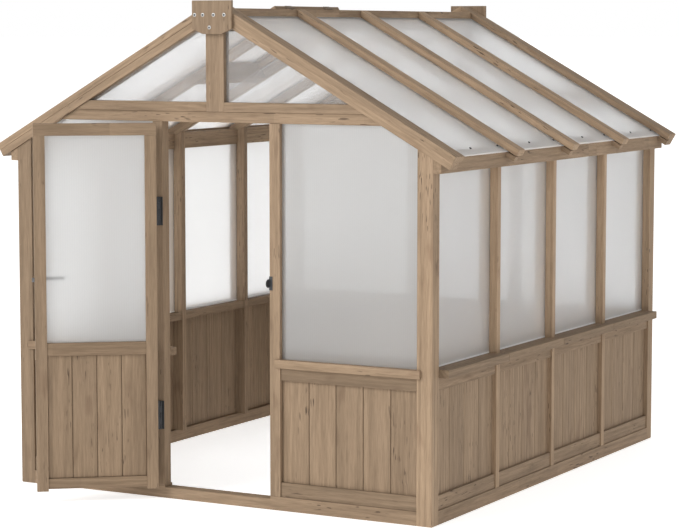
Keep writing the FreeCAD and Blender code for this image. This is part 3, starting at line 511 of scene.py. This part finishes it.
def dress(node, finish, ease=TIMBER_EASE, given=None, smooth=False, rounds=2, log=True, glued=0.0,
          shade=1.0):
    """An eased copy of a group with its own grain, riding where the group rides."""
    whole = bmesh.new()
    solids = solids_of(node)
    for triangles in solids:
        piece = eased_piece(triangles, ease, rounds)
        start = Vector([dice.uniform(*spots) for spots in LOG_SPOTS]) if log else Vector()
        own_shade = shade * dice.uniform(1 - TONE_SPREAD, 1 + TONE_SPREAD)
        mark_piece(piece, given, start, own_shade, glued)
        held = bpy.data.meshes.new("held_piece")
        piece.to_mesh(held)
        piece.free()
        whole.from_mesh(held)
        bpy.data.meshes.remove(held)
    made = new_object(node + "_dressed", whole, finish)
    if smooth:
        for face in made.data.polygons:
            face.use_smooth = True
        made.data.set_sharp_from_angle(angle=SMOOTH_BELOW)
    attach(made, frame["nodes"][node]["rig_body"])
    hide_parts(node)
    return made, len(solids)


print("dressing helper ready")

# %% [markdown]
# ## The timbers
# Posts, rails, rafters and boards are all the same wood, so they share one finish.
# The gusset plates are cut with their grain upright, which the longest edge would not tell, so it is given.
# Boards get wider eased edges, which meet as the shallow grooves seen on the panels.
# Some groups are a little darker or paler than the rest, as they look in the photograph: partly their own
# tint, partly painted light and shade. The front rails are darkened as painted shade under the sill, the
# left posts as painted shade of the open door, and the roof caps brightened as painted light on their tops.

# %% Dress the timbers
UPRIGHT = Vector((0, 0, 1))
TIMBER_STARTS = ("base_", "posts_", "door_post_", "studs_", "heads", "gable_rails", "king_posts",
                 "eave_beam_", "ridge_beams", "end_rafters", "barge_caps", "rafters_", "caps_",
                 "vent_trimmer", "gussets", "sills_", "rails_", "door_stile_", "door_rails", "vent_sash")
BOARD_STARTS = ("boards_", "door_boards")
BOARD_EASE = 0.002
GRAIN_GIVEN = {"gussets": UPRIGHT}
GLUED_UP = {"ridge_beams": 1.0, "eave_beam_left": 1.0, "eave_beam_right": 1.0, "door_rails": 1.0,
            "base_sides": 0.7, "gable_rails": 0.5, "heads": 0.5}
# Below 1 darkens a group and above 1 brightens it: its own tint together with painted light and shade.
TONE_AND_PAINTED_LIGHT_BY_GROUP = {"posts_right": 1.10, "posts_left": 0.82, "studs_right": 1.26, "king_posts": 0.86,
          "gussets": 0.86, "gable_rails": 0.96, "heads": 1.04, "caps_left": 1.2, "caps_right": 1.2,
          "rails_front": 0.78, "rails_right": 0.94, "sills_right": 0.82, "sills_left": 0.82,
          "door_rails": 0.92, "door_stile_hinge": 0.94, "door_stile_latch": 0.94,
          "boards_front": 0.92, "boards_back": 0.92, "boards_left": 0.92, "boards_right": 0.96,
          "door_boards": 0.92}
count = 0
for name in sorted(frame["nodes"]):
    shade = TONE_AND_PAINTED_LIGHT_BY_GROUP.get(name, 1.0)
    if name.startswith(BOARD_STARTS):
        count += dress(name, timber, ease=BOARD_EASE, rounds=1, shade=shade)[1]
    elif name.startswith(TIMBER_STARTS):
        count += dress(name, timber, given=GRAIN_GIVEN.get(name),
                       glued=GLUED_UP.get(name, 0.0), shade=shade)[1]
print("timbers:", count, "pieces")

# %% [markdown]
# ## The panes
# The ribs of a sheet run upright in the walls and down the slope on the roof, so rain can drain from them.
# The panes beside the king posts are seen against the bright roof and look clearer than the walls; their
# sheet is clearer and darker, the darker colour painted shade. The end walls get a greyer copy of the sheet
# as painted shade, and the roof sheets the whitest copy as painted light.

# %% Dress the panes
PITCH = math.radians(29)
DOWN_LEFT = Vector((-math.cos(PITCH), 0, -math.sin(PITCH)))
DOWN_RIGHT = Vector((math.cos(PITCH), 0, -math.sin(PITCH)))
PANES = {"panes_front": (painted_shade_sheet, UPRIGHT), "panes_back": (painted_shade_sheet, UPRIGHT),
         "panes_left": (milky, UPRIGHT), "panes_right": (milky, UPRIGHT),
         "door_pane": (milky, UPRIGHT), "gable_panes": (clearer_painted_shade_sheet, UPRIGHT),
         "vent_pane": (painted_light_sheet, DOWN_LEFT), "roof_sheets_left": (painted_light_sheet, DOWN_LEFT),
         "roof_sheets_right": (painted_light_sheet, DOWN_RIGHT)}
count = 0
for name, (sheet, ribs_along) in PANES.items():
    count += dress(name, sheet, ease=0.0, given=ribs_along, log=False)[1]
print("panes:", count)

# %% [markdown]
# ## Hinges, strike, lever and screws
# Small metal keeps crisp edges but still needs a hair of rounding to catch the light.

# %% Dress the metal
METAL_EASE = 0.0004
LEVEL = Vector((1, 0, 0))
METALS = {"hinge_leaves_post": (black_steel, "black_metal"),
          "hinge_leaves_door": (black_steel, "black_metal"), "strike": (black_steel, "black_metal"),
          "lever_rose": (grey_steel, "grey_metal"), "lever_handle": (grey_steel, "grey_metal"),
          "latch_bolt": (grey_steel, "grey_metal"), "vent_hinge_ridge": (brown_steel, "black_metal"),
          "vent_hinge_sash": (brown_steel, "black_metal"), "gusset_screws": (zinc, "zinc"),
          "roof_screws": (zinc, "zinc")}
for name, (finish, slot) in METALS.items():
    across_head = LEVEL if name == "gusset_screws" else UPRIGHT
    made, pieces = dress(name, finish, ease=METAL_EASE, given=across_head, smooth=True, log=False)
    print("metal:", made.name, pieces, "pieces")

# %% [markdown]
# ## Small extras
# A few things are too slight for the drawing. Each is a mesh of its own, which rides on a body and measures
# its grain from the middle of the piece that a corner belongs to.

# %% Loose pieces


def piece_boxes(node):
    """Lowest and highest corners of each solid of a group."""
    boxes = []
    for triangles in solids_of(node):
        spots = [spot for triangle in triangles for spot in triangle]
        low, high = (Vector(pick(spot[i] for spot in spots) for i in range(3)) for pick in (min, max))
        boxes.append((low, high))
    return boxes


def loose_piece(name, mesh, finish, body, middles, shade=1.0):
    """A finished object from a mesh, riding on a body, with its grain measured from the nearest middle."""
    mesh.normal_update()
    grain = mesh.verts.layers.float_vector.new("grain")
    tone = mesh.verts.layers.float.new("tone")
    for vertex in mesh.verts:
        here = vertex.co - min(middles, key=lambda middle: (vertex.co - middle).length)
        vertex[grain] = Vector((here.x, here.z, here.y))
        vertex[tone] = shade
    made = new_object(name, mesh, finish)
    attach(made, body)
    return made


print("loose pieces ready")

# %% [markdown]
# ## Screws in the hinge plates
# Three countersunk screws hold each hinge plate to the door post. A plate without them looks glued on.
# A low dome is turned from a short profile and set at each place.

# %% Hinge screws
SCREW_PROFILE = ((0.0, 0.0006), (0.0022, 0.0006), (0.0034, 0.0004), (0.0042, 0.0))
SCREW_SIDES = 20
PLATE_THICKNESS = 0.0025
SCREW_INSET = 0.0105
SCREW_SPREAD = 0.043


def turned_head(mesh, place):
    """One low screw head facing the front, added to a mesh at a place."""
    turns = [2 * math.pi * n / SCREW_SIDES for n in range(SCREW_SIDES)]
    rings = []
    for radius, rise in SCREW_PROFILE[1:]:
        spots = [Vector((radius * math.cos(turn), -rise, radius * math.sin(turn))) for turn in turns]
        rings.append([mesh.verts.new(place + spot) for spot in spots])
    crown = mesh.verts.new(place + Vector((0, -SCREW_PROFILE[0][1], 0)))
    for n in range(SCREW_SIDES):
        after = (n + 1) % SCREW_SIDES
        mesh.faces.new((crown, rings[0][n], rings[0][after]))
        for inner, outer in zip(rings, rings[1:]):
            mesh.faces.new((inner[n], outer[n], outer[after], inner[after]))


post_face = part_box("door_post_left")[0][1]
screw_places = [
    Vector((low.x + SCREW_INSET, post_face - PLATE_THICKNESS, (low.z + high.z) / 2 + step * SCREW_SPREAD))
    for low, high in piece_boxes("hinge_leaves_post") for step in (-1, 0, 1)]
heads_mesh = bmesh.new()
for place in screw_places:
    turned_head(heads_mesh, place)
hinge_screws = loose_piece(
    "hinge_plate_screws", heads_mesh, hinge_screw_steel, "frame", screw_places)
print("hinge screws:", len(screw_places), "heads with", len(hinge_screws.data.vertices), "vertices")

# %% [markdown]
# ## Edge strips of the side panes
# The cut lower edge of a hollow sheet is closed with a thin white strip, against water and insects.
# It shows as a pale line above each sill. Each strip is a slim eased bar as long as its pane.

# %% White edge strips
STRIP_HEIGHT = 0.007
STRIP_PROUD = 0.0012
STRIP_EASE = 0.0004


def strip_finish(name):
    """White plastic, slightly clouded."""
    finish, shader, add, link = new_finish(name)
    grain = add("ShaderNodeAttribute", attribute_name="grain").outputs["Vector"]
    cloud = add("ShaderNodeTexNoise", {"Vector": grain, "Scale": 40.0, "Detail": 3.0}).outputs["Fac"]
    link(stepped(add, cloud, [(0.3, grey(0.74)), (0.7, grey(0.80))]), shader.inputs["Base Color"])
    rough = add("ShaderNodeMapRange", {"Value": cloud, "To Min": 0.4, "To Max": 0.6}).outputs[0]
    link(rough, shader.inputs["Roughness"])
    return finish


def add_strip(mesh, low, high):
    """An eased bar along the lower edge of a pane. Returns its middle."""
    size = high - low
    thin = 0 if size.x < size.y else 1
    long = 1 - thin
    span = Vector((0, 0, STRIP_HEIGHT))
    span[thin] = size[thin] + 2 * STRIP_PROUD
    span[long] = size[long] - 2 * STRIP_PROUD
    place = (low + high) / 2
    place.z = low.z + STRIP_HEIGHT / 2 + STRIP_EASE
    shape = Matrix.Translation(place) @ Matrix.Diagonal((*span, 1.0))
    bar = bmesh.ops.create_cube(mesh, size=1.0, matrix=shape)
    edges = list(dict.fromkeys(edge for vertex in bar["verts"] for edge in vertex.link_edges))
    bmesh.ops.bevel(mesh, geom=edges, offset=STRIP_EASE, segments=2, profile=0.5, affect="EDGES")
    return place


white_strip = strip_finish("white_edge_strip")
for node in ("panes_left", "panes_right"):
    strip_mesh = bmesh.new()
    middles = [add_strip(strip_mesh, low, high) for low, high in piece_boxes(node)]
    loose_piece(node + "_edge_strips", strip_mesh, white_strip, "frame", middles)
    print("edge strips:", node, len(middles))

# %% [markdown]
# ## Tongues between the boards
# Wall boards like these are joined with a tongue on one edge that sits in a groove of the next board.
# The drawing leaves the joint open, and looked at squarely daylight would show through it.
# So a slim tongue goes into each joint, its wood darkened as painted shade in the joint. Two boards are
# neighbours when only a narrow gap parts them.

# %% Board tongues
JOINT_WIDEST = 0.006
LEVEL_WITHIN = 0.001
TONGUE_BITE = 0.0015
TONGUE_THICKNESS = 0.004
# The tongues' wood is darkened as painted shade in the joints.
TONGUE_PAINTED_SHADE = 0.6


def board_measures(triangles):
    """A board's corners and their middle."""
    spots = [Vector(spot) for spot in sorted({spot for triangle in triangles for spot in triangle})]
    return spots, sum(spots, Vector()) / len(spots)


def add_tongue(mesh, board, other):
    """A tongue between two neighbouring boards. Returns its middle, or nothing if they are apart."""
    (corners, middle), (other_corners, other_middle) = board, other
    apart = other_middle - middle
    aside = apart.normalized()
    reach = max((corner - middle).dot(aside) for corner in corners)
    other_reach = max((other_middle - corner).dot(aside) for corner in other_corners)
    gap = apart.length - reach - other_reach
    if abs(apart.z) > LEVEL_WITHIN or not 0 < gap < JOINT_WIDEST:
        return None
    place = middle + aside * (reach + gap / 2)
    tall = max(corner.z for corner in corners) - min(corner.z for corner in corners)
    turn = Matrix((aside, UPRIGHT.cross(aside), UPRIGHT)).transposed().to_4x4()
    size = Matrix.Diagonal((gap + 2 * TONGUE_BITE, TONGUE_THICKNESS, tall - 2 * TONGUE_BITE, 1.0))
    bmesh.ops.create_cube(mesh, size=1.0, matrix=Matrix.Translation(place) @ turn @ size)
    return place


tongues = 0
for node in sorted(frame["nodes"]):
    if node.startswith(BOARD_STARTS):
        boards = [board_measures(triangles) for triangles in solids_of(node)]
        tongue_mesh = bmesh.new()
        middles = []
        for n, board in enumerate(boards):
            made = [add_tongue(tongue_mesh, board, other) for other in boards[n + 1:]]
            middles.extend(place for place in made if place)
        body = frame["nodes"][node]["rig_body"]
        loose_piece(node + "_tongues", tongue_mesh, timber, body, middles, TONGUE_PAINTED_SHADE)
        tongues += len(middles)
print("board tongues:", tongues)

# %% [markdown]
# ## Floor and light
# The greenhouse was shown on plain white. A pale floor under an even, bright sky comes close to that, and
# one large soft lamp from the front left makes the front faces a little brighter than the sides.
# The floor reaches far past the view, and glows a little, so that it meets the sky without a line.

# %% The floor
FLOOR_RADIUS = 900.0
FLOOR_SIDES = 96
FLOOR_DROP = 0.002
FLOOR_GLOW = 0.62
bpy.ops.mesh.primitive_circle_add(
    vertices=FLOOR_SIDES, radius=FLOOR_RADIUS, fill_type="NGON", location=(0, 0, -FLOOR_DROP))
floor = bpy.context.object
floor.name = "studio_floor"
paper, shader, add, link = new_finish("pale_floor")
specks = add("ShaderNodeTexNoise", {"Scale": 3.0, "Detail": 2.0}).outputs["Fac"]
link(stepped(add, specks, [(0.3, grey(0.90)), (0.7, grey(0.92))]), shader.inputs["Base Color"])
shader.inputs["Roughness"].default_value = 0.9
shader.inputs["Specular IOR Level"].default_value = 0.1
shader.inputs["Emission Color"].default_value = (1, 1, 1, 1)
shader.inputs["Emission Strength"].default_value = FLOOR_GLOW
floor.data.materials.append(paper)
print("floor radius", FLOOR_RADIUS)

# %% [markdown]
# The sky is a gradient: white at eye level, where it is the backdrop, and dimmer overhead, because the tops
# of the roof timbers are no brighter than the walls.

# %% The sky
SKY_LEVEL = 1.0
SKY_OVERHEAD = 0.64
SKY_STOPS = ((0.06, SKY_LEVEL), (0.30, SKY_OVERHEAD))
world = bpy.data.worlds.new("studio_sky")
bpy.context.scene.world = world
world.use_nodes = True
sky = world.node_tree
direction = sky.nodes.new("ShaderNodeTexCoord")
height = sky.nodes.new("ShaderNodeSeparateXYZ")
fade = sky.nodes.new("ShaderNodeValToRGB")
sky.links.new(direction.outputs["Generated"], height.inputs[0])
sky.links.new(height.outputs["Z"], fade.inputs["Fac"])
sky.links.new(fade.outputs["Color"], sky.nodes["Background"].inputs["Color"])
for element, (place, brightness) in zip(fade.color_ramp.elements, SKY_STOPS):
    element.position = place
    element.color = (*grey(brightness), 1.0)
sky.nodes["Background"].inputs["Strength"].default_value = 1.0
print("sky from", SKY_LEVEL, "at eye level to", SKY_OVERHEAD, "overhead")

# %% [markdown]
# The lamp is a softbox five metres across. A large lamp keeps the open door's shadow soft on its post.

# %% The softbox
LAMP_PLACE = Vector((-4.0, -9.0, 6.2))
LAMP_AIM = Vector((0, 0, 1.0))
LAMP_ACROSS = 5.0
LAMP_POWER = 620.0
lamp_data = bpy.data.lights.new("front_softbox", "AREA")
lamp_data.size = LAMP_ACROSS
lamp_data.energy = LAMP_POWER
lamp = bpy.data.objects.new("front_softbox", lamp_data)
lamp.location = LAMP_PLACE
lamp.rotation_euler = (LAMP_AIM - LAMP_PLACE).to_track_quat("-Z", "Y").to_euler()
bpy.context.scene.collection.objects.link(lamp)
bpy.context.scene.view_settings.view_transform = "Standard"
print("lamp", LAMP_POWER, "W")

# %% [markdown]
# ## Camera
# The picture was taken from the front right, at about standing height, with a long lens.
# The place, direction and lens were worked out from the corners of the building.

# %% Camera
EYE_PLACE = (5.3529, -9.8782, 2.0567)
EYE_DOWN = 5.675
EYE_LEFT = 28.782
EYE_LENS = 124.463
EYE_SENSOR = 36.0
EYE_FARTHEST = 2000.0
eye_data = bpy.data.cameras.new("portrait_camera")
eye_data.sensor_width = EYE_SENSOR
eye_data.lens = EYE_LENS
eye_data.clip_end = EYE_FARTHEST
eye = bpy.data.objects.new("portrait_camera", eye_data)
eye.location = EYE_PLACE
eye.rotation_euler = (math.radians(90 - EYE_DOWN), 0, math.radians(EYE_LEFT))
bpy.context.scene.collection.objects.link(eye)
bpy.context.scene.camera = eye
print("camera at", EYE_PLACE, "with a lens of", EYE_LENS, "mm")

# %% [markdown]
# ## Finish

# %% End
bpy.context.view_layer.update()
